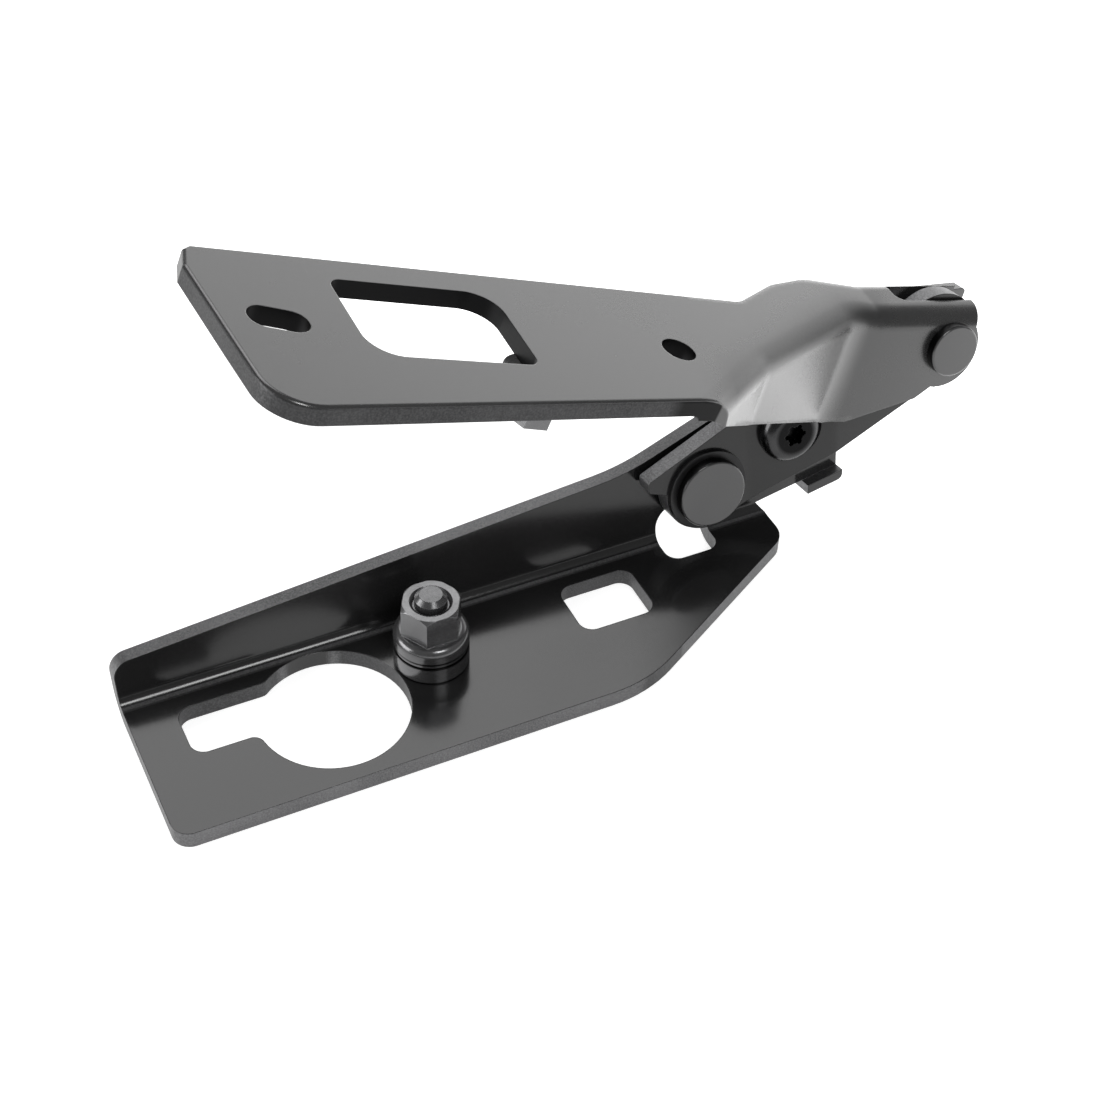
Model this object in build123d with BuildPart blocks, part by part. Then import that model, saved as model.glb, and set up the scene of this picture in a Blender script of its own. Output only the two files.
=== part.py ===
"""A left-hand bonnet hinge: body bracket, joggled link and bonnet arm, joined by two riveted pivots."""
from build123d import *
from math import cos, radians, sin, sqrt, tan
import os

os.makedirs("parts", exist_ok=True)

# Sheets
BRACKET_SHEET = 4.0
LINK_SHEET = 4.5
ARM_SHEET = 3.8
BRACKET_BEND = 3.0  # inside radius
LINK_BEND = 8.0  # at the joggle
ARM_BEND = 5.2  # outside radius
ARM_RIM = 0.8  # rounding of the plate's free edge, where the punch went in

# Directions: the bracket's flange and both pivot pins lean back by LEAN, the arm stands open by SWING
LEAN = 11.58
SWING = 21.42
ALONG = Vector(1, 0, 0)
PIN = Vector(0, cos(radians(LEAN)), -sin(radians(LEAN)))
UP = Vector(0, sin(radians(LEAN)), cos(radians(LEAN)))
TOP = Vector(0, 0, BRACKET_SHEET)

# Clearances
SIDE_PLAY = 0.12  # between a turning face and its neighbour
RIVET_PLAY = 0.05  # round each rivet in its bush
ARM_RUN = 0.25  # between the arm and the bracket's flange

# Layers along the pins, counted from the keyhole away from the viewer
FLANGE_FRONT = 18.05
LINK_STANDOFF = 1.3  # link's low end off the flange
CLEVIS_GAP_BACK = 1.5
CLEVIS_GAP_FRONT = 1.8
FLANGE_BACK = FLANGE_FRONT + BRACKET_SHEET
LINK_LOW_FRONT = FLANGE_FRONT - LINK_STANDOFF - LINK_SHEET
ARM_BACK = FLANGE_FRONT - ARM_RUN
LINK_HIGH_FRONT = ARM_BACK - ARM_SHEET - CLEVIS_GAP_BACK - LINK_SHEET
ARM_FRONT = LINK_HIGH_FRONT - CLEVIS_GAP_FRONT - ARM_SHEET

# Pivots, as places along and up the flange
LOWER_PIVOT = (96.5, 17.7)
PIVOT_RUN = 57.3  # from the lower pivot to the upper one, along and up
PIVOT_CLIMB = 24.4
UPPER_PIVOT = (LOWER_PIVOT[0] + PIVOT_RUN, LOWER_PIVOT[1] + PIVOT_CLIMB)

# Pivot rivets, bushes and spacer
LOWER_RIVET_R = 5.0
LOWER_HEAD_R = 8.15
LOWER_TAIL_R = 7.5
LOWER_COLLAR_R = 9.7
LOWER_SPACER_R = 8.2
UPPER_RIVET_R = 3.5
UPPER_HEAD_R = 6.1
UPPER_TAIL_R = 5.7
UPPER_COLLAR_R = 4.9
HEAD_THICK = 2.2
HEAD_EDGE = 0.5
TAIL_THICK = 1.9
TAIL_EDGE = 0.8
COLLAR_THICK = 1.0
BUSH_WALL = 1.0

# Body bracket: plate
PLATE_LEFT = -40.5
PLATE_FRONT = -20.0
PLATE_CORNER = 4.0
PLATE_RIGHT = LOWER_PIVOT[0] + 17.8
SLANT_START = 64.6  # the front edge turns here to run slantwise to the right end
SLANT_END = 8.1
SLANT_ROUND = 33.0
SLANT_END_ROUND = 6.0

# Body bracket: openings
KEYHOLE_R = 16.5
NECK_LEFT = -30.5
NECK_FRONT = -0.8
NECK_BACK = 12.5
SQUARE_HOLE_AT = (67.15, 5.8)
SQUARE_HOLE_SIZE = (17.9, 14.6)
WINDOW_WIDTH = 12.9
WINDOW_OFF_PIVOT = -3.85
WINDOW_FRONT = 10.9
WINDOW_HEIGHT = 12.2  # up the flange
WINDOW_TOP_ROUND = 5.5
OPENING_CORNER = 3.2
MOUTH_ROUND = 2.5  # where the neck meets the keyhole's round end

# Body bracket: flange outline, along and up the flange, with its right part placed from the lower pivot
FLANGE_LEFT_HEIGHT = 14.0
FLANGE_KNEE = (LOWER_PIVOT[0] - 17.2, LOWER_PIVOT[1] + 5.9)
FLANGE_KNEE_ROUND = 50.0
FLANGE_CREST = (LOWER_PIVOT[0] + 21.0, LOWER_PIVOT[1] + 19.6)
FLANGE_SHOULDER = (LOWER_PIVOT[0] + 38.1, LOWER_PIVOT[1] + 4.3)
FLANGE_CREST_ROUND = 9.0
FLANGE_SHOULDER_ROUND = 4.0
FLANGE_TOE = (LOWER_PIVOT[0] + 38.1, LOWER_PIVOT[1] - 8.1)  # right end of the lower edge
FLANGE_RELIEF = (LOWER_PIVOT[0] + 16.1, LOWER_PIVOT[1] - 11.9)  # left end of the lower edge
RELIEF_FOOT = LOWER_PIVOT[1] - 14.2  # the plate's right end turns in from here

# Stop tab, under the right end of the flange's lower edge and forward of the flange
TAB_WIDTH = 9.4
TAB_THICK = 2.3
TAB_REACH = 2.9
TAB_ROUND = 1.6

# Mounting stud and its stack
STUD_AT = (24.6, 5.3)
STUD_R = 4.0
STUD_HEAD_R = 6.5
STUD_HEAD_THICK = 1.5
STUD_CHAMFER = 1.0
STUD_SUNK = 1.0  # full thread ends this far inside the nut
POINT_R = 3.5  # reduced end of the stud
POINT_TAIL = 2.0  # past the nut
WASHER_R = 8.2
WASHER_THICK = 4.5
THIN_WASHER_R = 8.0
THIN_WASHER_THICK = 1.2
COLLAR_HEIGHT = 3.9
COLLAR_ROUND = 1.9
HEX_HEIGHT = 7.4
NUT_FLATS = 12.0
NUT_CHAMFER = 0.8
NUT_SINK = 0.6  # countersink of the nut's bore
WASHER_TOP = BRACKET_SHEET + WASHER_THICK
NUT_SEAT = WASHER_TOP + THIN_WASHER_THICK
COLLAR_TOP = NUT_SEAT + COLLAR_HEIGHT
HEX_TOP = COLLAR_TOP + HEX_HEIGHT

# Link
LOW_END_R = 10.1
EYE_R = 10.8
JOGGLE_START = LOWER_PIVOT[0] + 10.8
JOGGLE_END = JOGGLE_START + 20.2
HEEL_LEFT = [(-9.3, 0.9), (-14.6, 2.9), (-14.6, 5.6)]  # low end's straight part, from the lower pivot
HEEL_RIGHT = [(20.0, 20.9), (20.0, 5.0), (0.0, 0.0)]
HEEL_ROUND = 0.9
DRAWN_IN = [(-31.2, 0.5), (-25.3, -2.5), (-15.8, 1.5), (-10.3, 5.8), (-11.8, 13.9)]  # from the upper pivot

# Shear screw, through the link's slope into the flange
SCREW_AT = (LOWER_PIVOT[0] + 20.2, LOWER_PIVOT[1] + 10.2)
SCREW_R = 3.0
SCREW_HEAD_R = 7.3
SCREW_HEAD_THICK = 3.2
SCREW_HEAD_ROUND = 2.6
SEAT_MARGIN = 0.4
SEAT_SINK = 0.25  # seat below the slope's surface at the screw
SCREW_TAIL = 2.5  # past the weld nut
PARTING_GAP = 1.45  # breaking plane off the flange
SOCKET_R = 2.1
LOBE_R = 0.62
SOCKET_FLOOR = 0.9
WELD_NUT_WIDTH = 10.0
WELD_NUT_HEIGHT = 5.0
SLOPE = (LINK_LOW_FRONT - LINK_HIGH_FRONT) / (JOGGLE_END - JOGGLE_START)
SCREW_SEAT = LINK_LOW_FRONT - SLOPE * (SCREW_AT[0] - JOGGLE_START) + SEAT_SINK
SCREW_PARTING = FLANGE_FRONT - PARTING_GAP

# Arm, as places along, across and above the upper pivot in the arm's own directions
ARM_RISE = 5.0  # plate's top above the pivot
CLEVIS_RISE = 7.6  # the clevis end is bent up by this angle
CLEVIS_START = -22.0
DIAGONAL_START = -28.0  # the front flange runs slantwise from here
DIAGONAL_SLOPE = 0.65
DIAGONAL_ROUND = 14.0
STEEP_START = -65.0  # and more steeply from here to the plate's front edge
STEEP_SLOPE = 0.86
STEEP_ROUND = 20.0
ARM_END = 5.4
ARM_END_AT = (-1.2, -0.6)  # centre of the round end
ARM_END_R = 9.1
NOTCH_START = -14.6
NOTCH_FRONT_GAP = 1.1
NOTCH_ROUND = 3.0
ARM_CORNER_ROUND = 9.0
FLARE_ROUND = 12.0
ARM_LEFT_END = [(-183.5, -7.0), (-185.0, -8.4), (-186.3, -14.0), (-183.3, -36.0)]
ARM_PLATE_CORNER = (-180.6, -54.8)
ARM_FRONT_EDGE = (-168.0, -52.6)
FRONT_EDGE_SLOPE = 0.1773
FLARE_FOOT = (-62.2, 0.5)
FLARE_HIP = (-49.0, 9.9)
FLARE_END = (-33.0, 16.6)
REAR_FLANGE = [(-33.0, 3.0), (-30.0, -7.5), (-5.0, -10.2)]  # lower edge
FRONT_FLANGE = [  # lower edge
    (-100.0, -7.7),
    (-86.3, -7.7),
    (-66.5, -13.5),
    (-28.3, -20.9),
    (-21.5, -20.4),
    (-4.5, -13.0),
    (-1.2, -9.7),
]
REAR_EAR = [(-14.6, 0.0), (-14.6, 6.0), (8.8, 11.0), (8.8, 3.0), (4.0, -7.0)]  # past the notch
REAR_EAR_ROUND = 0.8

# Arm: openings and the stud under its plate
ARM_OPENING = [(-159.2, -12.6), (-124.9, -10.4), (-123.8, -33.4), (-157.7, -36.0)]
ARM_OPENING_ROUNDS = [2.5, 6.5, 2.5, 6.5]
ARM_HOLE_AT = (-88.4, -22.1)
ARM_HOLE_R = 3.6
ARM_SLOT_AT = (-172.9, -28.1)
ARM_SLOT_SIZE = (11.4, 6.6)
ARM_SLOT_TURN = -7.0
ARM_STUD_AT = (-121.0, -31.6)
ARM_STUD_R = 2.5
ARM_STUD_TAIL = 0.6
ARM_WASHER_R = 8.0
ARM_WASHER_THICK = 1.5
ARM_NUT_FLATS = 8.5
ARM_NUT_HEIGHT = 7.0

# Cutting tools reach this far past what they cut, and faces that only touch are cut this far over
FAR = 300.0
OVER = 1.0

ARM_ALONG = ALONG * cos(radians(SWING)) - UP * sin(radians(SWING))
ARM_UP = UP * cos(radians(SWING)) + ALONG * sin(radians(SWING))
ARM_NORMAL = ARM_UP * cos(radians(LEAN)) - PIN * sin(radians(LEAN))
ARM_ACROSS = ARM_NORMAL.cross(ARM_ALONG)
UPPER_POINT = TOP + ALONG * UPPER_PIVOT[0] + UP * UPPER_PIVOT[1]


# Planes, outlines and files
def on_flange(depth):
    """A sketch plane parallel to the flange: x along the bracket, y up the flange."""
    return Plane(origin=TOP + PIN * depth, x_dir=ALONG, z_dir=-PIN)


def on_arm_side(depth):
    """A sketch plane square to the pins, turned with the arm: x along the arm, y up, from the upper pivot."""
    return Plane(origin=UPPER_POINT + PIN * depth, x_dir=ARM_ALONG, z_dir=-PIN)


def on_arm_plate(rise):
    """A sketch plane parallel to the arm's plate: x along the arm, y across it."""
    return Plane(origin=UPPER_POINT + ARM_NORMAL * rise, x_dir=ARM_ALONG, z_dir=ARM_NORMAL)


def on_arm_plan(rise):
    """A sketch plane looking down along the arm's flanges: x along the arm, y along the pins."""
    return Plane(origin=UPPER_POINT + ARM_UP * rise, x_dir=ARM_ALONG, z_dir=ARM_UP)


def shifted(points, start):
    """Points counted from start."""
    return [(start[0] + x, start[1] + y) for x, y in points]


def outline(points, rounds=()):
    """A closed face through points. Each of rounds is a corner and its radius."""
    with BuildSketch() as face:
        with BuildLine():
            Polyline(*points, close=True)
        make_face()
        for corner, radius in rounds:
            fillet(face.vertices().sort_by_distance(corner)[0], radius)
    return face.sketch_local


def save(part, label):
    """Name a part and write its file."""
    part.label = label
    export_step(part, f"parts/{label}.step")


# Body bracket
def flange_section(depth, up):
    """A place in the flange as (across, up) in the bracket's L section."""
    lean = radians(LEAN)
    return (depth * cos(lean) + up * sin(lean), BRACKET_SHEET + up * cos(lean) - depth * sin(lean))


def bracket_sheet():
    """The bent sheet: a plate and the flange that leans back from it."""
    lean = radians(LEAN)
    height = FLANGE_CREST[1] + OVER
    front_foot = (FLANGE_FRONT / cos(lean), BRACKET_SHEET)
    back_foot = ((FLANGE_BACK - BRACKET_SHEET * sin(lean)) / cos(lean), 0.0)
    points = [
        (PLATE_FRONT, 0.0),
        back_foot,
        flange_section(FLANGE_BACK, height),
        flange_section(FLANGE_FRONT, height),
        front_foot,
        (PLATE_FRONT, BRACKET_SHEET),
    ]
    rounds = [(front_foot, BRACKET_BEND), (back_foot, BRACKET_BEND + BRACKET_SHEET)]
    with BuildPart() as sheet:
        with BuildSketch(Plane.YZ.offset(PLATE_LEFT)):
            add(outline(points, rounds))
        extrude(amount=FLANGE_SHOULDER[0] - PLATE_LEFT)
    return sheet.part


def bracket_part():
    with BuildPart() as bracket:
        add(bracket_sheet())
        # outline seen square to the flange
        with BuildSketch(on_flange(FLANGE_BACK + OVER)):
            add(
                outline(
                    [
                        (PLATE_LEFT, -FAR),
                        (PLATE_LEFT, FLANGE_LEFT_HEIGHT),
                        FLANGE_KNEE,
                        FLANGE_CREST,
                        FLANGE_SHOULDER,
                        FLANGE_TOE,
                        FLANGE_RELIEF,
                        (PLATE_RIGHT, RELIEF_FOOT),
                        (PLATE_RIGHT, -FAR),
                    ],
                    [
                        ((PLATE_LEFT, FLANGE_LEFT_HEIGHT), PLATE_CORNER),
                        (FLANGE_KNEE, FLANGE_KNEE_ROUND),
                        (FLANGE_CREST, FLANGE_CREST_ROUND),
                        (FLANGE_SHOULDER, FLANGE_SHOULDER_ROUND),
                    ],
                )
            )
        extrude(amount=FAR, mode=Mode.INTERSECT)
        # plate cut off slantwise
        with BuildSketch(Plane.XY.offset(-OVER)):
            add(
                outline(
                    [
                        (0, PLATE_FRONT - OVER),
                        (0, PLATE_FRONT),
                        (SLANT_START, PLATE_FRONT),
                        (PLATE_RIGHT, SLANT_END),
                        (PLATE_RIGHT, SLANT_END + SLANT_END_ROUND),
                        (FAR, SLANT_END + SLANT_END_ROUND),
                        (FAR, PLATE_FRONT - OVER),
                    ],
                    [
                        ((SLANT_START, PLATE_FRONT), SLANT_ROUND),
                        ((PLATE_RIGHT, SLANT_END), SLANT_END_ROUND),
                    ],
                )
            )
        extrude(amount=BRACKET_SHEET + 2 * OVER, mode=Mode.SUBTRACT)
        # stop tab
        with BuildSketch(on_flange(FLANGE_BACK)):
            edge_slope = (FLANGE_TOE[1] - FLANGE_RELIEF[1]) / (FLANGE_TOE[0] - FLANGE_RELIEF[0])
            tab_left = (FLANGE_TOE[0] - TAB_WIDTH, FLANGE_TOE[1] - TAB_WIDTH * edge_slope)
            below = (0, -TAB_THICK)
            tab = [tab_left, FLANGE_TOE, *shifted([below], FLANGE_TOE), *shifted([below], tab_left)]
            add(outline(tab, [(tab[2], TAB_ROUND)]))
        extrude(amount=BRACKET_SHEET + TAB_REACH)
        # keyhole with its neck, and the square hole
        with BuildSketch(Plane.XY.offset(-OVER)) as openings:
            Circle(KEYHOLE_R)
            neck = [(NECK_LEFT, NECK_FRONT), (0, NECK_FRONT), (0, NECK_BACK), (NECK_LEFT, NECK_BACK)]
            add(outline(neck, [(neck[0], OPENING_CORNER), (neck[3], OPENING_CORNER)]))
            for side in (NECK_FRONT, NECK_BACK):
                mouth = (-sqrt(KEYHOLE_R**2 - side**2), side, -OVER)
                fillet(openings.vertices().sort_by_distance(mouth)[0], MOUTH_ROUND)
            with Locations(SQUARE_HOLE_AT):
                RectangleRounded(*SQUARE_HOLE_SIZE, OPENING_CORNER)
        extrude(amount=BRACKET_SHEET + 2 * OVER, mode=Mode.SUBTRACT)
        # window across the bend: its part in the plate, then its part in the flange
        window_x = LOWER_PIVOT[0] + WINDOW_OFF_PIVOT
        with BuildSketch(Plane.XY.offset(-OVER)):
            with Locations((window_x, WINDOW_FRONT)):
                RectangleRounded(WINDOW_WIDTH, FLANGE_BACK, OPENING_CORNER, align=(Align.CENTER, Align.MIN))
        extrude(amount=BRACKET_SHEET + BRACKET_BEND + OVER, mode=Mode.SUBTRACT)
        with BuildSketch(on_flange(FLANGE_BACK + BRACKET_BEND + BRACKET_SHEET)):
            with Locations((window_x, WINDOW_HEIGHT)):
                RectangleRounded(WINDOW_WIDTH, FLANGE_BACK, WINDOW_TOP_ROUND, align=(Align.CENTER, Align.MAX))
        extrude(amount=BRACKET_BEND + 2 * BRACKET_SHEET + OVER, mode=Mode.SUBTRACT)
        # holes for the pivot rivet, the shear screw and the stud with its sunk head
        with BuildSketch(on_flange(FLANGE_BACK + OVER)):
            with Locations(LOWER_PIVOT):
                Circle(LOWER_RIVET_R)
            with Locations(SCREW_AT):
                Circle(SCREW_R)
        extrude(amount=BRACKET_SHEET + 2 * OVER, mode=Mode.SUBTRACT)
        with BuildSketch(Plane.XY):
            with Locations(STUD_AT):
                Circle(STUD_R)
        extrude(amount=BRACKET_SHEET + OVER, mode=Mode.SUBTRACT)
        with BuildSketch(Plane.XY):
            with Locations(STUD_AT):
                Circle(STUD_HEAD_R)
        extrude(amount=STUD_HEAD_THICK, mode=Mode.SUBTRACT)
        # rounded front left corner
        upright = bracket.edges().filter_by(Axis.Z).group_by(Axis.X)[0].group_by(Axis.Y)[0]
        fillet(upright, PLATE_CORNER)
    return bracket.part


# Turned pieces, all about a pin through a given place on the flange
def turned(place, steps):
    """Stacked cylinders along the pins: each step is (from depth, to depth, radius)."""
    with BuildPart() as body:
        for start, end, radius in steps:
            with BuildSketch(on_flange(end)):
                with Locations(place):
                    Circle(radius)
            extrude(amount=end - start)
    return body.part


def bored(solid, place, radius):
    """A solid with a hole along the pins right through it."""
    with BuildPart() as body:
        add(solid)
        with BuildSketch(on_flange(FAR)):
            with Locations(place):
                Circle(radius)
        extrude(amount=2 * FAR, mode=Mode.SUBTRACT)
    return body.part


def rounded_end(solid, depth, radius):
    """A turned solid with the outer edge of its flat end at that depth rounded."""
    with BuildPart() as body:
        add(solid)
        rim = body.edges().filter_by(GeomType.CIRCLE)
        near = [edge for edge in rim if abs((edge.arc_center - TOP).dot(PIN) - depth) < 0.01]
        fillet(ShapeList(near).sort_by(SortBy.RADIUS)[-1], radius)
    return body.part


def lower_rivet():
    head_back = LINK_LOW_FRONT - COLLAR_THICK - SIDE_PLAY
    head_front = head_back - HEAD_THICK
    tail = FLANGE_BACK + TAIL_THICK
    steps = [
        (head_front, head_back, LOWER_HEAD_R),
        (head_back, FLANGE_BACK, LOWER_RIVET_R),
        (FLANGE_BACK, tail, LOWER_TAIL_R),
    ]
    return rounded_end(rounded_end(turned(LOWER_PIVOT, steps), head_front, HEAD_EDGE), tail, TAIL_EDGE)


def lower_bush():
    """A collared bush pressed in the link; its collar is the dark ring behind the rivet head."""
    steps = [
        (LINK_LOW_FRONT - COLLAR_THICK, LINK_LOW_FRONT, LOWER_COLLAR_R),
        (LINK_LOW_FRONT, LINK_LOW_FRONT + LINK_SHEET, LOWER_RIVET_R + BUSH_WALL),
    ]
    return bored(turned(LOWER_PIVOT, steps), LOWER_PIVOT, LOWER_RIVET_R + RIVET_PLAY)


def lower_spacer():
    """A ring that keeps the link off the flange."""
    start = LINK_LOW_FRONT + LINK_SHEET + SIDE_PLAY
    return bored(turned(LOWER_PIVOT, [(start, FLANGE_FRONT, LOWER_SPACER_R)]), LOWER_PIVOT, LOWER_RIVET_R)


def upper_rivet():
    head_front = ARM_FRONT - HEAD_THICK
    tail = ARM_BACK + TAIL_THICK
    steps = [
        (head_front, ARM_FRONT, UPPER_HEAD_R),
        (ARM_FRONT, ARM_BACK, UPPER_RIVET_R),
        (ARM_BACK, tail, UPPER_TAIL_R),
    ]
    return rounded_end(rounded_end(turned(UPPER_PIVOT, steps), head_front, HEAD_EDGE), tail, TAIL_EDGE)


def upper_bush():
    """A bush pressed in the link's eye, with a collar on each side that keeps the clevis centred."""
    link_back = LINK_HIGH_FRONT + LINK_SHEET
    steps = [
        (ARM_FRONT + ARM_SHEET + SIDE_PLAY, LINK_HIGH_FRONT, UPPER_COLLAR_R),
        (LINK_HIGH_FRONT, link_back, UPPER_RIVET_R + BUSH_WALL),
        (link_back, ARM_BACK - ARM_SHEET - SIDE_PLAY, UPPER_COLLAR_R),
    ]
    return bored(turned(UPPER_PIVOT, steps), UPPER_PIVOT, UPPER_RIVET_R + RIVET_PLAY)


# Link
def joggled_strip():
    """The link's sheet before its outline is cut: low end, slope and high end."""
    left = LOWER_PIVOT[0] - LOW_END_R - EYE_R
    right = UPPER_PIVOT[0] + 2 * EYE_R
    bends = [
        (JOGGLE_START, LINK_LOW_FRONT),
        (JOGGLE_END, LINK_HIGH_FRONT),
        (JOGGLE_END, LINK_HIGH_FRONT + LINK_SHEET),
        (JOGGLE_START, LINK_LOW_FRONT + LINK_SHEET),
    ]
    points = [
        (left, LINK_LOW_FRONT),
        bends[0],
        bends[1],
        (right, LINK_HIGH_FRONT),
        (right, LINK_HIGH_FRONT + LINK_SHEET),
        bends[2],
        bends[3],
        (left, LINK_LOW_FRONT + LINK_SHEET),
    ]
    with BuildPart() as strip:
        with BuildSketch(Plane(origin=TOP, x_dir=ALONG, z_dir=UP)):
            add(outline(points, [(bend, LINK_BEND) for bend in bends]))
        extrude(amount=UPPER_PIVOT[1] + 2 * EYE_R)
    return strip.part


def link_part():
    heel = shifted([*HEEL_LEFT, *HEEL_RIGHT], LOWER_PIVOT)
    with BuildPart() as link:
        add(joggled_strip())
        with BuildSketch(on_flange(FLANGE_BACK)):
            with Locations(LOWER_PIVOT):
                Circle(LOW_END_R)
            with Locations(UPPER_PIVOT):
                Circle(EYE_R)
            make_hull()
            add(outline(heel, [(heel[1], HEEL_ROUND), (heel[2], HEEL_ROUND)]))
            # top edge drawn in toward the eye, so that the closed arm clears it
            add(outline(shifted(DRAWN_IN, UPPER_PIVOT)), mode=Mode.SUBTRACT)
        extrude(amount=FLANGE_BACK, mode=Mode.INTERSECT)
        with BuildSketch(on_flange(FLANGE_BACK)):
            with Locations(LOWER_PIVOT):
                Circle(LOWER_RIVET_R + BUSH_WALL)
            with Locations(UPPER_PIVOT):
                Circle(UPPER_RIVET_R + BUSH_WALL)
            with Locations(SCREW_AT):
                Circle(SCREW_R)
        extrude(amount=FLANGE_BACK, mode=Mode.SUBTRACT)
        # flat seat for the screw head on the slope
        with BuildSketch(on_flange(SCREW_SEAT)):
            with Locations(SCREW_AT):
                Circle(SCREW_HEAD_R + SEAT_MARGIN)
        extrude(amount=SCREW_HEAD_THICK, mode=Mode.SUBTRACT)
    return link.part


# Shear screw
def screw_head():
    """The button head and the neck down to the breaking plane, which stay with the link."""
    front = SCREW_SEAT - SCREW_HEAD_THICK
    steps = [(front, SCREW_SEAT, SCREW_HEAD_R), (SCREW_SEAT, SCREW_PARTING - SIDE_PLAY, SCREW_R)]
    with BuildPart() as head:
        add(rounded_end(turned(SCREW_AT, steps), front, SCREW_HEAD_ROUND))
        # six-lobed socket
        with BuildSketch(on_flange(SCREW_SEAT - SOCKET_FLOOR)):
            with Locations(SCREW_AT):
                Circle(SOCKET_R)
                with PolarLocations(SOCKET_R, 6):
                    Circle(LOBE_R)
        extrude(amount=SCREW_HEAD_THICK, mode=Mode.SUBTRACT)
    return head.part


def screw_shank():
    """The screw's shank from the breaking plane to its end."""
    return turned(SCREW_AT, [(SCREW_PARTING, FLANGE_BACK + WELD_NUT_HEIGHT + SCREW_TAIL, SCREW_R)])


def weld_nut():
    """The square nut behind the flange that the shear screw runs into."""
    with BuildPart() as nut:
        with BuildSketch(on_flange(FLANGE_BACK + WELD_NUT_HEIGHT)):
            with Locations(SCREW_AT):
                Rectangle(WELD_NUT_WIDTH, WELD_NUT_WIDTH)
                Circle(SCREW_R, mode=Mode.SUBTRACT)
        extrude(amount=WELD_NUT_HEIGHT)
    return nut.part


# Mounting stud with its nut and washers
def washer(low, high, radius):
    """A ring on the stud between two heights."""
    with BuildPart() as ring:
        with BuildSketch(Plane.XY.offset(low)):
            with Locations(STUD_AT):
                Circle(radius)
                Circle(STUD_R, mode=Mode.SUBTRACT)
        extrude(amount=high - low)
    return ring.part


def mounting_stud():
    """A stud pressed in the plate from below, its head flush with the underside."""
    with BuildPart() as stud:
        with BuildSketch(Plane.XY):
            with Locations(STUD_AT):
                Circle(STUD_HEAD_R)
        extrude(amount=STUD_HEAD_THICK)
        with BuildSketch(Plane.XY.offset(STUD_HEAD_THICK)):
            with Locations(STUD_AT):
                Circle(STUD_R)
        extrude(amount=HEX_TOP - STUD_SUNK - STUD_HEAD_THICK)
        with BuildSketch(Plane.XY.offset(HEX_TOP - STUD_SUNK)):
            with Locations(STUD_AT):
                Circle(POINT_R)
        extrude(amount=STUD_SUNK + POINT_TAIL)
        chamfer(stud.faces().sort_by(Axis.Z)[-1].edges(), STUD_CHAMFER)
    return stud.part


def hexagon_block():
    """The nut's hexagon, its top corners turned off at a slant."""
    corner_r = NUT_FLATS / 2 / cos(radians(30))
    with BuildPart() as block:
        with BuildSketch(Plane.XY.offset(NUT_SEAT)):
            with Locations(STUD_AT):
                Circle(corner_r)
        extrude(amount=HEX_TOP - NUT_SEAT)
        chamfer(block.faces().sort_by(Axis.Z)[-1].edges(), NUT_CHAMFER)
        with BuildSketch(Plane.XY.offset(NUT_SEAT)):
            with Locations(STUD_AT):
                RegularPolygon(NUT_FLATS / 2, 6, major_radius=False)
        extrude(amount=HEX_TOP - NUT_SEAT, mode=Mode.INTERSECT)
    return block.part


def collar_nut():
    """A hexagon nut on a domed collar."""
    with BuildPart() as nut:
        with BuildSketch(Plane.XY.offset(NUT_SEAT)):
            with Locations(STUD_AT):
                Circle(WASHER_R)
        extrude(amount=COLLAR_HEIGHT)
        fillet(nut.faces().sort_by(Axis.Z)[-1].edges(), COLLAR_ROUND)
        add(hexagon_block())
        with BuildSketch(Plane.XY):
            with Locations(STUD_AT):
                Circle(STUD_R)
        extrude(amount=FAR, mode=Mode.SUBTRACT)
        circles = nut.edges().filter_by(GeomType.CIRCLE)
        bore = circles.filter_by(lambda edge: edge.radius < STUD_R + 0.01)
        chamfer(bore.sort_by(Axis.Z)[-1], NUT_SINK)
    return nut.part


# Bonnet arm
def arm_form(inset, bend):
    """The solid under the arm's outer skin, or under its inner skin for an inset of one sheet."""
    rise = ARM_RISE - inset
    left = ARM_PLATE_CORNER[0] - FAR / 10
    right = ARM_END + FAR / 20
    turn = (DIAGONAL_START, ARM_FRONT)
    steep = (STEEP_START, ARM_FRONT - DIAGONAL_SLOPE * (DIAGONAL_START - STEEP_START))
    steep_left = (left, steep[1] - STEEP_SLOPE * (STEEP_START - left))
    slope = tan(radians(CLEVIS_RISE))
    roof = [
        (left - OVER, rise),
        (CLEVIS_START, rise),
        (right + OVER, rise + (right + OVER - CLEVIS_START) * slope),
        (right + OVER, FAR),
        (left - OVER, FAR),
    ]
    with BuildPart() as form:
        with BuildSketch(on_arm_plan(-FAR / 6)):
            walls = [steep_left, steep, turn, (right, ARM_FRONT), (right, ARM_BACK), (left, ARM_BACK)]
            add(outline(walls, [(turn, DIAGONAL_ROUND), (steep, STEEP_ROUND)]))
            if inset > 0:
                offset(amount=-inset, kind=Kind.INTERSECTION)
        extrude(amount=FAR / 3)
        # everything above the plate, and above the clevis end that is bent up from it
        front = UPPER_POINT + ARM_ACROSS * FAR / 2
        with BuildSketch(Plane(origin=front, x_dir=ARM_ALONG, z_dir=-ARM_ACROSS)):
            add(outline(roof))
        extrude(amount=FAR, mode=Mode.SUBTRACT)
        # bends all along the plate's rim, but not at its open ends
        rim = []
        for face in form.faces().filter_by(lambda face: face.normal_at(face.center()).dot(ARM_NORMAL) > 0.95):
            for edge in face.edges():
                along = (edge.center() - UPPER_POINT).dot(ARM_ALONG)
                across = abs(edge.tangent_at(0.5).dot(ARM_ACROSS)) > 0.95
                if not across and left + inset + 0.1 < along < right - inset - 0.1:
                    rim.append(edge)
        fillet(rim, bend)
    return form.part


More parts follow.
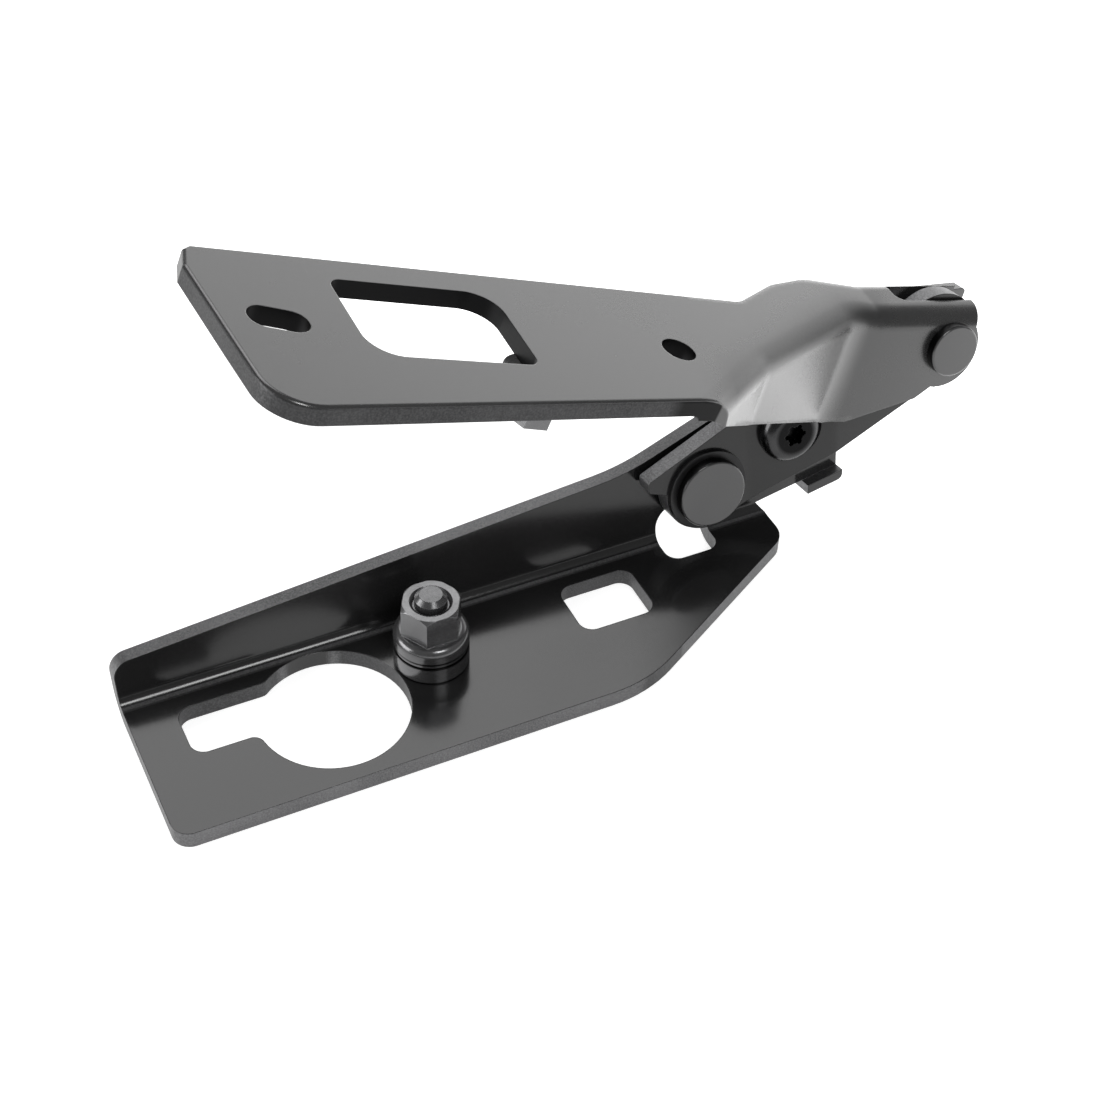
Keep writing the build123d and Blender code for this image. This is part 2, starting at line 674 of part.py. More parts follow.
def arm_plate_outline():
    """The arm seen from above: left end, front edge, and the back edge that flares out to the clevis."""
    right = FAR / 10
    front_right = (right, ARM_FRONT_EDGE[1] + (right - ARM_FRONT_EDGE[0]) * FRONT_EDGE_SLOPE)
    points = [
        *ARM_LEFT_END,
        ARM_PLATE_CORNER,
        ARM_FRONT_EDGE,
        front_right,
        (right, FAR / 5),
        (FLARE_END[0], FAR / 5),
        FLARE_END,
        FLARE_HIP,
        FLARE_FOOT,
    ]
    rounds = [(ARM_PLATE_CORNER, ARM_CORNER_ROUND), (FLARE_HIP, FLARE_ROUND), (FLARE_FOOT, FLARE_ROUND / 2)]
    return outline(points, rounds)


def arm_part():
    with BuildPart() as arm:
        add(arm_form(0.0, ARM_BEND))
        add(arm_form(ARM_SHEET, ARM_BEND - ARM_SHEET), mode=Mode.SUBTRACT)
        with BuildSketch(on_arm_plate(-FAR / 4)):
            add(arm_plate_outline())
        extrude(amount=FAR / 2, mode=Mode.INTERSECT)
        # below the front flange's lower edge, which rises to the left and is rounded about the pivot
        with BuildSketch(on_arm_side(FAR / 4)):
            bottom = [(-FAR, -FAR), (-FAR, -FAR / 12), (FRONT_FLANGE[0][0], -FAR / 12), *FRONT_FLANGE]
            add(outline([*bottom, (FAR, FRONT_FLANGE[-1][1]), (FAR, -FAR)]))
        extrude(amount=FAR / 2, mode=Mode.SUBTRACT)
        # clevis end, rounded about the pivot
        with BuildSketch(on_arm_side(FAR / 8)):
            add(outline([(0, -FAR), (0, FAR), (FAR, FAR), (FAR, -FAR)]))
            add(outline([(-OVER, 0), (-OVER, FAR), (ARM_END, FAR), (ARM_END, 0)]), mode=Mode.SUBTRACT)
            with Locations(ARM_END_AT):
                Circle(ARM_END_R, mode=Mode.SUBTRACT)
        extrude(amount=FAR / 4, mode=Mode.SUBTRACT)
        # rear flange: shorter and shallower than the front one
        with BuildSketch(on_arm_side(FAR / 4)):
            left_of_flare = (-FAR / 4, REAR_FLANGE[0][1])
            add(outline([(-FAR / 4, -FAR), left_of_flare, *REAR_FLANGE, (0, -FAR / 10), (0, -FAR)]))
        extrude(amount=FAR / 4 - (ARM_BACK - ARM_SHEET - OVER), mode=Mode.SUBTRACT)
        # notch in the web over the link's eye
        with BuildSketch(on_arm_plan(-ARM_SHEET)):
            front = ARM_FRONT + ARM_SHEET + NOTCH_FRONT_GAP
            back = ARM_BACK - ARM_SHEET
            corner = (NOTCH_START, front)
            add(outline([corner, (FAR, front), (FAR, back), (NOTCH_START, back)], [(corner, NOTCH_ROUND)]))
        extrude(amount=FAR, mode=Mode.SUBTRACT)
        # the rear flange stands higher and longer past the notch
        with BuildSketch(on_arm_side(ARM_BACK)):
            add(outline(REAR_EAR, [(REAR_EAR[2], REAR_EAR_ROUND)]))
        extrude(amount=ARM_SHEET)
        # pivot hole
        with BuildSketch(on_arm_side(FAR)):
            Circle(UPPER_RIVET_R)
        extrude(amount=2 * FAR, mode=Mode.SUBTRACT)
        # round hole, slot and opening in the plate
        with BuildSketch(on_arm_plate(ARM_RISE - ARM_SHEET - OVER)):
            with Locations(ARM_HOLE_AT):
                Circle(ARM_HOLE_R)
            with Locations(Location((*ARM_SLOT_AT, 0), ARM_SLOT_TURN)):
                SlotOverall(*ARM_SLOT_SIZE)
            add(outline(ARM_OPENING, list(zip(ARM_OPENING, ARM_OPENING_ROUNDS))))
        extrude(amount=ARM_SHEET + 2 * OVER, mode=Mode.SUBTRACT)
        # rounded rim: left of the bent-down front, and behind the opening as far as the flare
        level = arm.faces().filter_by(lambda face: face.normal_at(face.center()).dot(ARM_NORMAL) > 0.999)
        rim = []
        for edge in level.sort_by(SortBy.AREA)[-1].outer_wire().edges():
            along = (edge.center() - UPPER_POINT).dot(ARM_ALONG)
            across = (edge.center() - UPPER_POINT).dot(ARM_ACROSS)
            behind = across > ARM_OPENING[1][1] and along < FLARE_HIP[0]
            if behind or along < ARM_HOLE_AT[0]:
                rim.append(edge)
        fillet(rim, ARM_RIM)
    return arm.part


# Stud, washer and nut under the arm's plate
def under_arm(start, end, shape):
    """A column under the arm's plate between two depths below it, drawn by shape."""
    with BuildPart() as body:
        with BuildSketch(on_arm_plate(ARM_RISE - ARM_SHEET - start)):
            with Locations(ARM_STUD_AT):
                shape()
        extrude(amount=start - end)
    return body.part


def arm_stud():
    """A thin stud welded under the plate."""
    return under_arm(0.0, ARM_WASHER_THICK + ARM_NUT_HEIGHT + ARM_STUD_TAIL, lambda: Circle(ARM_STUD_R))


def arm_washer():
    def ring():
        Circle(ARM_WASHER_R)
        Circle(ARM_STUD_R, mode=Mode.SUBTRACT)

    return under_arm(0.0, ARM_WASHER_THICK, ring)


def arm_nut():
    def hexagon():
        RegularPolygon(ARM_NUT_FLATS / 2, 6, major_radius=False)
        Circle(ARM_STUD_R, mode=Mode.SUBTRACT)

    return under_arm(ARM_WASHER_THICK, ARM_WASHER_THICK + ARM_NUT_HEIGHT, hexagon)


save(bracket_part(), "body_bracket")
save(lower_rivet(), "lower_pivot_rivet")
save(lower_bush(), "lower_pivot_bush")
save(lower_spacer(), "lower_pivot_spacer")
save(mounting_stud(), "mounting_stud")
save(washer(BRACKET_SHEET, WASHER_TOP, WASHER_R), "flat_washer")
save(washer(WASHER_TOP, NUT_SEAT, THIN_WASHER_R), "thin_washer")
save(collar_nut(), "collar_nut")
save(screw_shank(), "shear_screw_shank")
save(weld_nut(), "weld_nut")
save(link_part(), "pivot_link")
save(screw_head(), "shear_screw_head")
save(upper_bush(), "upper_pivot_bush")
save(arm_part(), "bonnet_arm")
save(upper_rivet(), "upper_pivot_rivet")
save(arm_stud(), "arm_stud")
save(arm_nut(), "arm_nut")
save(arm_washer(), "arm_washer")
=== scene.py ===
"""The looks of a black-coated bonnet hinge: coats, screw threads, studio and camera."""
from math import cos, pi, radians, sin

import bpy
from mathutils import Matrix, Vector


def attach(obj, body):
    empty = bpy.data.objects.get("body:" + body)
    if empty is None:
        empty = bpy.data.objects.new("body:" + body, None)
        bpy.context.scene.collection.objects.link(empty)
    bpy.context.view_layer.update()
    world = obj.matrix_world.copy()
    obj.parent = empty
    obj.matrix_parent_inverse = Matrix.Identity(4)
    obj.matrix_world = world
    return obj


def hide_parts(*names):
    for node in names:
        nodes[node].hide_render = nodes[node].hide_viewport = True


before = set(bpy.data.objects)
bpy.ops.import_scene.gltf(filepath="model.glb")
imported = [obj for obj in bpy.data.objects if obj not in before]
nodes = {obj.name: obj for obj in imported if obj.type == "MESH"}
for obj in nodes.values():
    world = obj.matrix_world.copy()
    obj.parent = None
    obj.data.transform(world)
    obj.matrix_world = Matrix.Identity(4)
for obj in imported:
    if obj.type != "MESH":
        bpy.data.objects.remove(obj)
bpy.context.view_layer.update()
MM = 0.001

# Directions of the frame: pins and flange lean back by LEAN, the arm stands open by SWING
LEAN = radians(11.58)
SWING = radians(21.42)
ALONG = Vector((1, 0, 0))
AWAY = Vector((0, 1, 0))
UPRIGHT = Vector((0, 0, 1))
PIN = Vector((0, cos(LEAN), -sin(LEAN)))
UP = Vector((0, sin(LEAN), cos(LEAN)))
ARM_ALONG = ALONG * cos(SWING) - UP * sin(SWING)
ARM_UP = UP * cos(SWING) + ALONG * sin(SWING)
ARM_NORMAL = ARM_UP * cos(LEAN) - PIN * sin(LEAN)
ARM_ACROSS = ARM_NORMAL.cross(ARM_ALONG)

# Places on the bracket and the link
TOP = UPRIGHT * 4.0 * MM
UPPER_PIVOT = TOP + ALONG * 153.8 * MM + UP * 42.1 * MM
SCREW = TOP + ALONG * 116.7 * MM + UP * 27.9 * MM
SHANK_FOOT = SCREW + PIN * 16.6 * MM
STUD = Vector((24.6, 5.3, 0)) * MM
BRACKET_HOLES = (Vector((-32.5, -19, 0)) * MM, Vector((76, 15, 0)) * MM)  # opposite corners around them
BEND_START = AWAY * 14 * MM
BEND_END = TOP + UP * 3.5 * MM


def on_arm(left, near=0.0):
    """A place in the plane of the arm's plate, so many mm left of the upper pivot and nearer the viewer."""
    return UPPER_PIVOT - ARM_ALONG * left * MM - ARM_ACROSS * near * MM


# Places on the arm
ARM_STUD = on_arm(121.0, 31.6)
ARM_STUD_FOOT = ARM_STUD + ARM_NORMAL * 1.2 * MM
ARM_HOLES = (on_arm(180, 40), on_arm(82, 6))  # opposite corners around them
PLATE_RIM_END = on_arm(85.5)
BACK_RIM_END = on_arm(40)
ROUND_START = on_arm(16)
SOFT_BENDS = (on_arm(76), on_arm(20))
# Where a band of painted shade darkens the arm's top along its bend
SHADE_STRETCH = (on_arm(84), on_arm(24))
SHADE_WIDTH = 17 * MM
SHADE_FADES = (5 * MM, 8 * MM)  # half of the lengths over which its two ends fade

# The bend of the arm's front and its rear rim slant: so far across the arm for each step along it
BEND_SLOPE = 0.78
BEND_INWARD = (ARM_ACROSS - ARM_ALONG * BEND_SLOPE).normalized()
BEND_PLACE = on_arm(34, 2)
BACK_RIM_SLOPE = 0.66
BACK_RIM_INWARD = (ARM_ACROSS - ARM_ALONG * BACK_RIM_SLOPE).normalized()
BACK_RIM_PLACE = on_arm(28) + BACK_RIM_INWARD * 11 * MM

# Camera, from fitting the photograph
PICTURE_SIDE = 1100
FOCAL_PIXELS = 1962.4
SENSOR = 36.0
NEAREST = 0.01
EYE = Vector((-0.08668, -0.26472, 0.31242))
HEADING = radians(62.79)  # from +X toward +Y
DIP = radians(43.40)
ROLL = radians(2.52)


def make_camera():
    data = bpy.data.cameras.new("camera")
    data.sensor_width = SENSOR
    data.lens = SENSOR * FOCAL_PIXELS / PICTURE_SIDE
    data.clip_start = NEAREST
    camera = bpy.data.objects.new("camera", data)
    forward = Vector((cos(HEADING) * cos(DIP), sin(HEADING) * cos(DIP), -sin(DIP)))
    level = forward.cross(UPRIGHT).normalized()
    right = level * cos(ROLL) + level.cross(forward) * sin(ROLL)
    above = right.cross(forward)
    turn = Matrix((right, above, -forward)).transposed().to_4x4()
    camera.matrix_world = Matrix.Translation(EYE) @ turn
    bpy.context.scene.collection.objects.link(camera)
    bpy.context.scene.camera = camera


# Shader pieces
SOFT_LENGTH = 0.3 * MM  # half the length over which a mask changes
SOFT_COSINE = 0.05  # half the change of a face's cosine over which one does
STREAK_KEEP = 0.08  # share of a place that is kept along the streaks


class Tree:
    """A material's node tree, with short ways to add and join its nodes.

    A mask is 1 where it holds and 0 elsewhere.
    """

    def __init__(self, name):
        self.material = bpy.data.materials.new(name)
        self.material.use_nodes = True
        self.graph = self.material.node_tree
        self.shader = self.graph.nodes["Principled BSDF"]
        place = self.add("ShaderNodeTexCoord")
        self.place = place.outputs["Object"]
        self.normal = place.outputs["Normal"]

    def add(self, kind, **values):
        node = self.graph.nodes.new(kind)
        for key, value in values.items():
            setattr(node, key, value)
        return node

    def feed(self, socket, value):
        """Link a socket to another one, or set it to a plain value."""
        if hasattr(value, "is_linked"):
            self.graph.links.new(value, socket)
        else:
            socket.default_value = value

    def number(self, operation, first, second=0.0):
        node = self.add("ShaderNodeMath", operation=operation)
        self.feed(node.inputs[0], first)
        self.feed(node.inputs[1], second)
        return node.outputs[0]

    def times(self, first, second):
        """The product. Of two masks, it holds where both do."""
        return self.number("MULTIPLY", first, second)

    def most(self, first, second):
        """The larger number. Of two masks, it holds where either does."""
        return self.number("MAXIMUM", first, second)

    def vector(self, operation, first, second):
        node = self.add("ShaderNodeVectorMath", operation=operation)
        self.feed(node.inputs[0], first)
        self.feed(node.inputs[1], second)
        return node

    def dot(self, vector, direction):
        return self.vector("DOT_PRODUCT", vector, direction).outputs["Value"]

    def ramp(self, value, low, high, to_low=0.0, to_high=1.0):
        """Value from low to high becomes to_low to to_high, clamped."""
        node = self.add("ShaderNodeMapRange")
        self.feed(node.inputs["Value"], value)
        for key, given in (("From Min", low), ("From Max", high), ("To Min", to_low), ("To Max", to_high)):
            self.feed(node.inputs[key], given)
        return node.outputs["Result"]

    def reverse(self, mask):
        return self.ramp(mask, 0, 1, 1, 0)

    def looking(self, direction, low, high):
        """A mask of faces whose cosine to the direction has passed from low to high."""
        return self.ramp(self.dot(self.normal, direction), low, high)

    def facing(self, direction, least):
        """A mask of faces whose cosine to the direction or its opposite is over least."""
        cosine = self.number("ABSOLUTE", self.dot(self.normal, direction))
        return self.ramp(cosine, least - SOFT_COSINE, least + SOFT_COSINE)

    def edge_on(self, direction, least):
        """A mask of all other faces than those of facing."""
        return self.reverse(self.facing(direction, least))

    def beyond(self, start, direction, soft=SOFT_LENGTH):
        """A mask of what lies past a place in a direction."""
        level = start.dot(direction)
        return self.ramp(self.dot(self.place, direction), level - soft, level + soft)

    def within(self, corners, one_way, other_way):
        """A mask of what lies between two corners."""
        low, high = corners
        first = self.times(self.beyond(low, one_way), self.beyond(high, -one_way))
        second = self.times(self.beyond(low, other_way), self.beyond(high, -other_way))
        return self.times(first, second)

    def off_axis(self, foot, axis):
        """How far a place is from an axis."""
        from_foot = self.vector("SUBTRACT", self.place, foot).outputs["Vector"]
        across = self.vector("CROSS_PRODUCT", from_foot, axis).outputs["Vector"]
        node = self.add("ShaderNodeVectorMath", operation="LENGTH")
        self.feed(node.inputs[0], across)
        return node.outputs["Value"]

    def squeezed(self, direction):
        """The place squeezed along a direction, so that noise runs in streaks along it."""
        change = self.times(self.dot(self.place, direction), STREAK_KEEP - 1)
        across = self.add("ShaderNodeVectorMath", operation="SCALE")
        self.feed(across.inputs[0], tuple(direction))
        self.feed(across.inputs["Scale"], change)
        return self.vector("ADD", self.place, across.outputs[0]).outputs[0]

    def noise(self, scale, detail, roughness=0.5, place=None):
        """Noise with so many waves in a metre."""
        node = self.add("ShaderNodeTexNoise")
        node.inputs["Scale"].default_value = scale
        node.inputs["Detail"].default_value = detail
        node.inputs["Roughness"].default_value = roughness
        self.feed(node.inputs["Vector"], place or self.place)
        return node.outputs["Fac"]

    def mix(self, share, first, second):
        """The second colour over the first, by a share."""
        node = self.add("ShaderNodeMix", data_type="RGBA")
        # A Mix node has several sockets of the same name, and these are the ones for colours
        self.feed(node.inputs[0], share)
        self.feed(node.inputs[6], first)
        self.feed(node.inputs[7], second)
        return node.outputs[2]

    def rounded(self, radius):
        """The normal as if edges were rounded by a radius."""
        node = self.add("ShaderNodeBevel", samples=6)
        self.feed(node.inputs["Radius"], radius)
        return node.outputs["Normal"]

    def bump(self, height, strength, distance, normal):
        node = self.add("ShaderNodeBump")
        node.inputs["Distance"].default_value = distance
        self.feed(node.inputs["Strength"], strength)
        self.feed(node.inputs["Height"], height)
        self.feed(node.inputs["Normal"], normal)
        return node.outputs["Normal"]


# Studio
WHITE = (1, 1, 1, 1)
SKY_STRENGTH = 0.3
FLOOR_SIDE = 12.0
FLOOR_GAP = 0.2 * MM  # so that the floor and the plate's underside don't share one plane
FLOOR_SHADE = (0.6, 0.6, 0.6, 1)
FLOOR_ROUGH = 0.9
GLOW_WAY = Vector((1, 0.8, 0))  # the table glows more to the right and the back
GLOW_START = 0.12  # a place's dot product with that way where the glow begins to grow
GLOW_END = 0.18  # the same where it has grown
GLOW_FAINT = 0.75  # strength before the start
GLOW_STRONG = 1.75  # strength past the end
MIDDLE = Vector((0.06, 0.0, 0.04))  # what the lights aim at


def make_floor():
    """A pale table top that also glows, as one lit from below."""
    tree = Tree("floor_white")
    glow = tree.ramp(tree.dot(tree.place, GLOW_WAY), GLOW_START, GLOW_END, GLOW_FAINT, GLOW_STRONG)
    tree.feed(tree.shader.inputs["Emission Strength"], glow)
    tree.shader.inputs["Emission Color"].default_value = WHITE
    tree.shader.inputs["Base Color"].default_value = FLOOR_SHADE
    tree.shader.inputs["Roughness"].default_value = FLOOR_ROUGH
    tree.shader.inputs["Specular IOR Level"].default_value = 0.0
    mesh = bpy.data.meshes.new("floor")
    half = FLOOR_SIDE / 2
    corners = [(x, y, -FLOOR_GAP) for x, y in ((-half, -half), (half, -half), (half, half), (-half, half))]
    mesh.from_pydata(corners, [], [(0, 1, 2, 3)])
    mesh.materials.append(tree.material)
    floor = bpy.data.objects.new("floor", mesh)
    bpy.context.scene.collection.objects.link(floor)


def make_softbox(name, direction, distance, size, radiance):
    """A rectangular light that shines on the part from a direction, as bright as radiance."""
    data = bpy.data.lights.new(name, "AREA")
    data.shape = "RECTANGLE"
    data.size, data.size_y = size
    data.energy = radiance * pi * size[0] * size[1]
    lamp = bpy.data.objects.new(name, data)
    outward = Vector(direction).normalized()
    lamp.location = MIDDLE + outward * distance
    lamp.rotation_euler = outward.to_track_quat("Z", "Y").to_euler()
    bpy.context.scene.collection.objects.link(lamp)


def make_studio():
    world = bpy.data.worlds.new("studio")
    world.use_nodes = True
    backdrop = world.node_tree.nodes["Background"]
    backdrop.inputs["Color"].default_value = WHITE
    backdrop.inputs["Strength"].default_value = SKY_STRENGTH
    bpy.context.scene.world = world
    bpy.context.scene.view_settings.view_transform = "Standard"
    make_floor()
    make_softbox("right_back_box", (0.77, 0.61, 0.20), distance=1.6, size=(2.0, 1.1), radiance=1.3)
    make_softbox("left_box", (-0.94, 0.20, 0.26), distance=1.3, size=(0.9, 0.7), radiance=6.0)
    make_softbox("high_back_box", (0.10, 0.62, 0.78), distance=1.6, size=(1.0, 0.8), radiance=2.8)
    make_softbox("front_lamp", (0.05, -0.62, 0.78), distance=1.2, size=(0.42, 0.30), radiance=11.0)


# Coats and platings
COAT_EDGE = 0.3 * MM  # radius of a coated edge
COAT_BEND = 2.0 * MM  # radius of a bend that the coat blurs
PLATED_EDGE = 0.2 * MM
FINE_BUMP = 0.02 * MM  # height of orange peel and of the grain in a plating
TORN_BUMP = 0.05 * MM  # height of the streaks on sheared steel
JOINT_DARK = 0.25 * MM  # to each side of a joint, the painted shade is full
JOINT_FADED = 0.45 * MM  # to each side of a joint, the painted shade has faded out
BLUE_TOUCH = 1.02


def grey(value):
    """A grey with a touch of blue."""
    return (value, value, value * BLUE_TOUCH, 1)


def mottled(tree, value, low, high, shade, spread):
    """A grey that wanders around a shade by a spread, as the value goes from low to high."""
    return tree.mix(tree.ramp(value, low, high), grey(shade * (1 - spread)), grey(shade * (1 + spread)))


def worn(tree, rounded, scale, least, most):
    """How much of the surface is rubbed off sharp edges: from least to most of it, in patches."""
    cosine = tree.dot(rounded, tree.add("ShaderNodeNewGeometry").outputs["Normal"])
    sharp = tree.ramp(cosine, 0.99, 0.90)
    patches = tree.ramp(tree.noise(scale, detail=3), 0.4, 0.6, least, most)
    return tree.times(sharp, patches)


def torn_steel(tree, streaky, shade):
    """The colour of sheared steel under a thin coat: streaks, darker patches and brighter grains."""
    patches = tree.ramp(tree.noise(45, detail=2), 0.35, 0.65)
    grains = tree.ramp(tree.noise(2600, detail=1), 0.35, 0.75, 0.0, 0.5)
    colour = mottled(tree, streaky, 0.3, 0.7, shade, spread=0.1)
    colour = tree.mix(tree.times(patches, 0.6), colour, grey(shade * 0.45))
    return tree.mix(grains, colour, grey(shade * 1.9))


def coat(name, shade, rough, sheared, edge_shade, edge_rough=0.5, streaks=UPRIGHT, peel=0.08, gloss=0.5,
         shaded=None, soft=None, band_shade=None):
    """Thin black coat on steel: orange peel, cloudy gloss, faint dust, worn edges, and rougher sheared edges.

    These take the tree and give a mask:
    sheared: sheared edges, where the coat is thin over torn, streaked steel
    shaded: where those edges are darkened inside the holes, as painted shade
    soft: where the coat blurs the bends
    band_shade: a band along the bend, darkened as painted shade, with a rougher, more metallic coat
    """
    tree = Tree(name)
    tree.shader.inputs["Specular IOR Level"].default_value = gloss
    clouds = tree.noise(30, detail=3)
    dust = tree.ramp(tree.noise(2200, detail=1), 0.70, 0.78)
    colour = mottled(tree, clouds, 0.35, 0.65, shade, spread=0.15)
    colour = tree.mix(tree.times(dust, 0.08), colour, grey(shade * 2 + 0.03))
    cloudy = tree.ramp(clouds, 0.3, 0.7, rough - 0.03, rough + 0.03)
    grainy = tree.ramp(tree.noise(1500, detail=2), 0.3, 0.7, -0.02, 0.02)
    roughness = tree.number("ADD", cloudy, grainy)

    rounded = tree.rounded(COAT_EDGE)
    rubbed = worn(tree, rounded, 260, least=0.14, most=0.35)
    if soft:
        rounded = tree.rounded(tree.ramp(soft(tree), 0.0, 1.0, COAT_EDGE, COAT_BEND))
    normal = tree.bump(tree.noise(330, detail=2), peel, FINE_BUMP, rounded)

    edges = sheared(tree)
    metal = edges
    # Painted shade: a band of the arm's top along its bend is darkened, and its coat made rougher and more
    # metallic
    if band_shade:
        band_dark = band_shade(tree)
        roughness = tree.number("ADD", roughness, tree.times(band_dark, 0.3))
        colour = tree.mix(band_dark, colour, grey(shade * 0.5))
        metal = tree.most(edges, tree.times(band_dark, 0.55))

    streaky = tree.noise(1100, detail=3, roughness=0.6, place=tree.squeezed(streaks))
    torn_and_hole_shade = torn_steel(tree, streaky, edge_shade)
    # Painted shade: the sheared edges inside the holes are darkened
    if shaded:
        torn_and_hole_shade = tree.mix(shaded(tree), torn_and_hole_shade, grey(edge_shade * 0.18))
    colour = tree.mix(edges, colour, torn_and_hole_shade)
    colour = tree.mix(rubbed, colour, grey(shade * 2.5 + 0.05))
    roughness = tree.ramp(edges, 0.0, 1.0, roughness, edge_rough)
    normal = tree.bump(streaky, tree.ramp(edges, 0.0, 1.0, 0.0, 0.15), TORN_BUMP, normal)

    tree.feed(tree.shader.inputs["Metallic"], metal)
    tree.feed(tree.shader.inputs["Base Color"], colour)
    tree.feed(tree.shader.inputs["Roughness"], roughness)
    tree.feed(tree.shader.inputs["Normal"], normal)
    return tree.material


def plated(name, shade, rough, metal=0.75, joints=(), dark_core_radius=0.0):
    """Black plating on turned or pressed steel, which keeps a metallic gloss.

    joints holds heights above the frame's origin, in mm, where pieces meet; a thin band there is painted
    dark, as painted shade in the gap between them.
    Within dark_core_radius mm of the screw's axis, the colour goes nearly black, leaving little of the gloss.
    """
    tree = Tree(name)
    grain = tree.noise(1800, detail=3)
    rounded = tree.rounded(PLATED_EDGE)
    rubbed = worn(tree, rounded, 300, least=0.2, most=0.7)
    colour = mottled(tree, tree.noise(120, detail=3), 0.35, 0.65, shade, spread=0.2)
    colour = tree.mix(rubbed, colour, grey(shade * 1.6))
    # Painted shade: thin dark bands where the stacked pieces meet
    for height in joints:
        off = tree.number("ABSOLUTE", tree.number("SUBTRACT", tree.dot(tree.place, UPRIGHT), height * MM))
        colour = tree.mix(tree.ramp(off, JOINT_FADED, JOINT_DARK), colour, grey(0.002))
    if dark_core_radius:
        dark_core = tree.ramp(tree.off_axis(SCREW, PIN), dark_core_radius * MM, (dark_core_radius - 1) * MM)
        colour = tree.mix(dark_core, colour, grey(0.01))
    tree.shader.inputs["Metallic"].default_value = metal
    tree.feed(tree.shader.inputs["Base Color"], colour)
    tree.feed(tree.shader.inputs["Roughness"], tree.ramp(grain, 0.3, 0.7, rough - 0.05, rough + 0.05))
    tree.feed(tree.shader.inputs["Normal"], tree.bump(grain, 0.08, FINE_BUMP, rounded))
    return tree.material


# Masks of the coated pieces
def bracket_edges(tree):
    """The bracket's ends, and edges that look neither as the plate nor, past the bend, as the flange."""
    past_bend = tree.beyond(BEND_START, AWAY)
    above_bend = tree.beyond(BEND_END, UP)
    ends = tree.facing(ALONG, least=0.3)
    plate = tree.times(tree.edge_on(UPRIGHT, least=0.5), tree.reverse(past_bend))
    flange = tree.times(tree.edge_on(PIN, least=0.6), tree.times(past_bend, above_bend))
    return tree.most(ends, tree.most(plate, flange))


def bracket_hole_shade(tree):
    """Part of the painted shade on the edges in the keyhole and the square hole."""
    return tree.times(tree.within(BRACKET_HOLES, ALONG, AWAY), 0.55)


def link_edges(tree):
    return tree.edge_on(PIN, least=0.8)


# The sides of the rivet heads, which their coat darkens as painted shade
def rivet_shaded_sides(tree):
    return tree.edge_on(PIN, least=0.55)


def arm_stretch(tree, ends, fades=(SOFT_LENGTH, SOFT_LENGTH)):
    """A stretch along the arm, from its left end to its right one."""
    past_left = tree.beyond(ends[0], ARM_ALONG, fades[0])
    before_right = tree.beyond(ends[1], -ARM_ALONG, fades[1])
    return tree.times(past_left, before_right)


def arm_bends(tree):
    """The arm from where its front is bent down to the clevis."""
    return arm_stretch(tree, SOFT_BENDS)


def arm_band_shade(tree):
    """A band of painted shade on the arm's top, darkening toward the slanting bend of its front."""
    depth = tree.number("SUBTRACT", tree.dot(tree.place, BEND_INWARD), BEND_PLACE.dot(BEND_INWARD))
    near = tree.ramp(depth, SHADE_WIDTH, 0.0)
    band = tree.times(tree.times(near, near), tree.looking(ARM_NORMAL, 0.3, 0.7))
    return tree.times(band, arm_stretch(tree, SHADE_STRETCH, SHADE_FADES))


def arm_edges(tree):
    """The arm's sheared edges: the rim of its plate, the lower edges of its flanges, and its round end."""
    behind = tree.beyond(BACK_RIM_PLACE, BACK_RIM_INWARD)
    back = tree.times(behind, tree.beyond(BACK_RIM_END, -ARM_ALONG))
    left = tree.beyond(PLATE_RIM_END, -ARM_ALONG)
    plate = tree.times(tree.edge_on(ARM_NORMAL, least=0.45), tree.most(left, back))
    under = tree.times(tree.looking(ARM_UP, -0.3, -0.4), tree.beyond(UPPER_PIVOT, -ARM_UP))
    end = tree.times(tree.looking(ARM_ALONG, 0.6, 0.7), tree.beyond(ROUND_START, ARM_ALONG))
    return tree.most(plate, tree.most(under, end))


def arm_hole_shade(tree):
    """The painted shade on the edges in the openings of the arm's plate."""
    return tree.within(ARM_HOLES, ARM_ALONG, ARM_ACROSS)


# Threads
RINGS_PER_TURN = 8
AROUND = 48  # corners of a ring
THREAD_DEPTH = 0.61  # share of the pitch
FLAT = 0.2  # share of the pitch at full height, and again at full depth
CREASE = radians(35)


def threaded(node, foot, axis, start, stop, radius, pitch, below, above, body, material):
    """A threaded column that stands for a CAD node.

    Heights run along the axis from the foot, in mm. The thread lies from start to stop, and
    below and above hold (height, radius) pairs before and after it.
    """
    rings = [(height, width, 0.0) for height, width in below]
    count = round((stop - start) / pitch * RINGS_PER_TURN)
    for step in range(count + 1):
        height = start + (stop - start) * step / count
        cut = THREAD_DEPTH * pitch * min(1.0, (height - start) / pitch, (stop - height) / pitch)
        rings.append((height, radius, cut))
    rings += [(height, width, 0.0) for height, width in above]
    side = axis.orthogonal().normalized()
    corners = []
    for height, width, cut in rings:
        for index in range(AROUND):
            turn = index / AROUND
            wave = abs(2 * ((height / pitch - turn) % 1.0) - 1)
            depth = cut * min(1.0, max(0.0, (wave - FLAT) / (1 - 2 * FLAT)))
            outward = side * cos(2 * pi * turn) + axis.cross(side) * sin(2 * pi * turn)
            corners.append(foot + (axis * height + outward * (width - depth)) * MM)
    faces = [list(range(AROUND))[::-1], [len(corners) - AROUND + index for index in range(AROUND)]]
    for ring in range(len(rings) - 1):
        for index in range(AROUND):
            low, after = ring * AROUND + index, ring * AROUND + (index + 1) % AROUND
            faces.append((low, after, after + AROUND, low + AROUND))
    mesh = bpy.data.meshes.new(node + "_thread")
    mesh.from_pydata(corners, [], faces)
    mesh.shade_smooth()
    mesh.set_sharp_from_angle(angle=CREASE)
    mesh.materials.append(material)
    piece = bpy.data.objects.new(node + "_thread", mesh)
    bpy.context.scene.collection.objects.link(piece)
    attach(piece, body)
    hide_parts(node)


def dress(names, material):
    for name in names:
        mesh = nodes[name].data
        mesh.materials.clear()
        mesh.materials.append(material)


make_camera()
make_studio()

